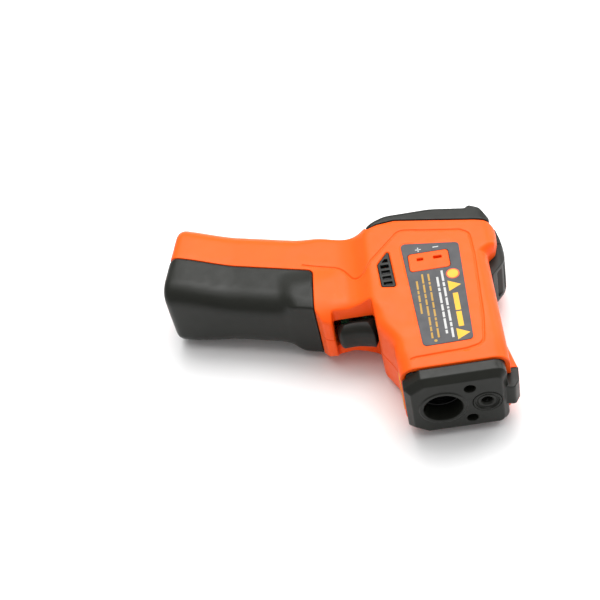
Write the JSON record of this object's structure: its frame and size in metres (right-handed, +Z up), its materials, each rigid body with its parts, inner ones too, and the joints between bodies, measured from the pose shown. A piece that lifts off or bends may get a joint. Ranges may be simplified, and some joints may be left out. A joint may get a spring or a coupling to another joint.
{
  "type": "infrared thermometer",
  "caption": "Pistol-grip infrared thermometer with twin aiming lasers, thermocouple socket, vented air sensor, leaning display, sprung trigger and swing-open battery door.",
  "frame": {"origin": "on the surface it lies on, under the middle of its bounding box", "axes": "+Z up, out of the instrument's right side (it lies on its left side); +X from butt to barrel top; -Y is the way the aperture points, +Y towards the display"},
  "size_m": [0.1594, 0.1164, 0.042],
  "materials": {
    "orange_plastic": "moulded, fine satin grain",
    "black_plastic": "moulded, satin with a fine grain",
    "steel": "bright zinc",
    "brass": "turned",
    "circuit_board": "green solder mask on glass-epoxy board",
    "key_plastic": "soft-touch grey",
    "lens": "infrared-passing lens",
    "window": "clear moulded window",
    "display": "liquid-crystal panel, unlit",
    "keypad_rubber": "silicone mat",
    "lamp": "clear epoxy lamp",
    "sensor_white": "white sensor can",
    "label_grey": "printed film",
    "label_yellow": "printed film",
    "component_black": "moulded component",
    "battery_jacket": "printed jacket"
  },
  "bodies": {
    "housing": {"right_shell": "orange_plastic", "left_shell": "orange_plastic", "housing_screws": "steel", "front_cap": "black_plastic", "optics_carrier": "black_plastic", "ir_tube": "black_plastic", "ir_lens": "lens", "thermopile": "steel", "sensor_board": "circuit_board", "right_laser": "brass", "left_laser": "brass", "lamp_ring": "black_plastic", "lamp_led": "lamp", "rear_bezel": "black_plastic", "display_window": "window", "lcd_panel": "display", "display_board": "circuit_board", "board_screws": "steel", "keypad_mat": "keypad_rubber", "sensor_hood": "black_plastic", "spine_cover": "black_plastic", "air_sensor": "sensor_white", "air_sensor_board": "circuit_board", "right_grille": "black_plastic", "left_grille": "black_plastic", "right_label": "label_grey", "left_label": "label_grey", "under_label": "label_yellow", "thermocouple_socket": "orange_plastic", "socket_contacts": "brass", "main_board": "circuit_board", "buzzer": "component_black", "trigger_pin": "steel", "trigger_switch": "component_black", "switch_board": "circuit_board", "door_pin": "steel", "battery": "battery_jacket", "battery_clip": "component_black"},
    "trigger": {"trigger": "black_plastic", "trigger_spring": "steel"},
    "battery_door": {"battery_door": "black_plastic"},
    "left_key": {"left_key": "key_plastic"},
    "mode_key": {"mode_key": "key_plastic"},
    "right_key": {"right_key": "key_plastic"}
  },
  "joints": [
    {"name": "trigger_pull", "type": "hinge", "parent": "housing", "child": "trigger", "pos_m": [0.02275, -0.00769, 0.021], "axis": [0, 0, -1], "range_deg": [0, 7], "stiffness_Nm_per_rad": 0.12, "springref_deg": -14.32},
    {"name": "battery_door_swing", "type": "hinge", "parent": "housing", "child": "battery_door", "pos_m": [-0.07312, 0.03346, 0.021], "axis": [0, 0, -1], "range_deg": [0, 80]},
    {"name": "left_key_press", "type": "slide", "parent": "housing", "child": "left_key", "axis": [-0.1822, -0.9833, 0], "range_m": [0, 0.0008], "stiffness_N_per_m": 800, "springref_m": -0.0006},
    {"name": "mode_key_press", "type": "slide", "parent": "housing", "child": "mode_key", "axis": [-0.1822, -0.9833, 0], "range_m": [0, 0.0008], "stiffness_N_per_m": 800, "springref_m": -0.0006},
    {"name": "right_key_press", "type": "slide", "parent": "housing", "child": "right_key", "axis": [-0.1822, -0.9833, 0], "range_m": [0, 0.0008], "stiffness_N_per_m": 800, "springref_m": -0.0006}
  ]
}
